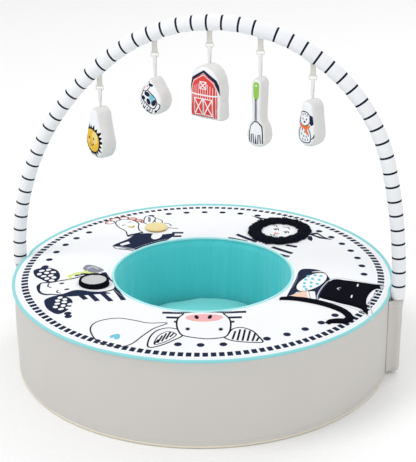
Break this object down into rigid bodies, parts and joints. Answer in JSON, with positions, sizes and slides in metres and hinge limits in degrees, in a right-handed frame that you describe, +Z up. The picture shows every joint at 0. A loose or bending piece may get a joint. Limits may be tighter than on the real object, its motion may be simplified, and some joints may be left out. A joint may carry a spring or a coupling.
{
  "type": "activity play gym",
  "caption": "Round padded floor nest with a cushioned well, sewn animal patches and a striped padded arch that carries hanging soft toys and lifts out of side pockets.",
  "frame": {"origin": "centre of the ring's underside, on the surface it stands on", "axes": "+X along the arch's span towards the leg with the steeper side, +Y towards the zip at the back, +Z up"},
  "size_m": [0.9168, 0.8598, 0.7949],
  "materials": {
    "base_fabric": "matte",
    "cream_piping": "matte",
    "side_canvas": "matte",
    "foam": "matte",
    "top_cotton": "matte",
    "aqua_piping": "satin",
    "pale_aqua_piping": "satin",
    "well_plush": "matte",
    "floor_plush": "matte",
    "zip_tape": "matte",
    "zip_metal": "satin",
    "navy_wool": "matte",
    "black_velour": "matte",
    "mirror_film": "polished",
    "yellow_velour": "matte",
    "fibreglass": "satin",
    "ferrule_steel": "satin",
    "sleeve_cotton": "matte",
    "foot_plastic": "satin",
    "tab_webbing": "matte",
    "ring_plastic": "gloss",
    "ribbon_satin": "satin",
    "toy_cotton": "matte",
    "toy_fibre": "matte"
  },
  "bodies": {
    "ring": {"base_cover": "base_fabric", "bottom_piping": "cream_piping", "side_cover": "side_canvas", "foam_ring": "foam", "top_cover": "top_cotton", "outer_piping": "aqua_piping", "inner_piping": "pale_aqua_piping", "well_lining": "well_plush", "floor_pad": "foam", "floor_cover": "floor_plush", "pocket_left": "side_canvas", "pocket_right": "side_canvas", "zip_tape": "zip_tape", "sheep_wool": "navy_wool", "cat_patch": "black_velour", "cat_tail": "black_velour", "mirror_rim": "black_velour", "mirror_disc": "mirror_film"},
    "zip_slider": {"zip_slider": "zip_metal"},
    "zip_pull": {"zip_pull": "zip_metal"},
    "hen_flap": {"hen_flap": "yellow_velour"},
    "arch": {"arch_rod_left": "fibreglass", "arch_rod_right": "fibreglass", "arch_ferrule": "ferrule_steel", "arch_padding": "foam", "arch_sleeve": "sleeve_cotton", "foot_left": "foot_plastic", "foot_right": "foot_plastic", "sun_tab": "tab_webbing", "calf_tab": "tab_webbing", "barn_tab": "tab_webbing", "fork_tab": "tab_webbing", "pup_tab": "tab_webbing"},
    "sun_link": {"sun_ring": "ring_plastic"},
    "sun_toy": {"sun_ribbon": "ribbon_satin", "sun_cover": "toy_cotton", "sun_filling": "toy_fibre"},
    "calf_link": {"calf_ring": "ring_plastic"},
    "calf_toy": {"calf_ribbon": "ribbon_satin", "calf_cover": "toy_cotton", "calf_filling": "toy_fibre"},
    "barn_link": {"barn_ring": "ring_plastic"},
    "barn_toy": {"barn_ribbon": "ribbon_satin", "barn_cover": "toy_cotton", "barn_filling": "toy_fibre"},
    "fork_link": {"fork_ring": "ring_plastic"},
    "fork_toy": {"fork_ribbon": "ribbon_satin", "fork_cover": "toy_cotton", "fork_filling": "toy_fibre"},
    "pup_link": {"pup_ring": "ring_plastic"},
    "pup_toy": {"pup_ribbon": "ribbon_satin", "pup_cover": "toy_cotton", "pup_filling": "toy_fibre"}
  },
  "joints": [
    {"name": "arch_lift", "type": "slide", "parent": "ring", "child": "arch", "axis": [0, 0, 1], "range_m": [0, 0.18]},
    {"name": "zip_run", "type": "hinge", "parent": "ring", "child": "zip_slider", "pos_m": [0, 0, 0.023], "axis": [0, 0, 1], "range_deg": [0, 76]},
    {"name": "zip_pull_lift", "type": "hinge", "parent": "zip_slider", "child": "zip_pull", "pos_m": [0.26486, 0.339, 0.023], "axis": [0.788, -0.6157, 0], "range_deg": [0, 90]},
    {"name": "flap_lift", "type": "hinge", "parent": "ring", "child": "hen_flap", "pos_m": [-0.19061, 0.24574, 0.20749], "axis": [-0.7902, -0.6129, 0], "range_deg": [0, 110]},
    {"name": "sun_swing", "type": "hinge", "parent": "arch", "child": "sun_link", "pos_m": [-0.228, 0, 0.62576], "axis": [1, 0, 0], "range_deg": [-45, 45]},
    {"name": "sun_sway", "type": "hinge", "parent": "sun_link", "child": "sun_toy", "pos_m": [-0.228, 0, 0.61636], "axis": [0, 1, 0], "range_deg": [-12, 12]},
    {"name": "calf_swing", "type": "hinge", "parent": "arch", "child": "calf_link", "pos_m": [-0.101, 0, 0.70697], "axis": [1, 0, 0], "range_deg": [-45, 45]},
    {"name": "calf_sway", "type": "hinge", "parent": "calf_link", "child": "calf_toy", "pos_m": [-0.101, 0, 0.69757], "axis": [0, 1, 0], "range_deg": [-12, 12]},
    {"name": "barn_swing", "type": "hinge", "parent": "arch", "child": "barn_link", "pos_m": [0.02, 0, 0.73363], "axis": [1, 0, 0], "range_deg": [-45, 45]},
    {"name": "barn_sway", "type": "hinge", "parent": "barn_link", "child": "barn_toy", "pos_m": [0.02, 0, 0.72423], "axis": [0, 1, 0], "range_deg": [-12, 12]},
    {"name": "fork_swing", "type": "hinge", "parent": "arch", "child": "fork_link", "pos_m": [0.13, 0, 0.7233], "axis": [1, 0, 0], "range_deg": [-45, 45]},
    {"name": "fork_sway", "type": "hinge", "parent": "fork_link", "child": "fork_toy", "pos_m": [0.13, 0, 0.7139], "axis": [0, 1, 0], "range_deg": [-12, 12]},
    {"name": "pup_swing", "type": "hinge", "parent": "arch", "child": "pup_link", "pos_m": [0.242, 0, 0.6758], "axis": [1, 0, 0], "range_deg": [-45, 45]},
    {"name": "pup_sway", "type": "hinge", "parent": "pup_link", "child": "pup_toy", "pos_m": [0.242, 0, 0.6664], "axis": [0, 1, 0], "range_deg": [-12, 12]}
  ]
}
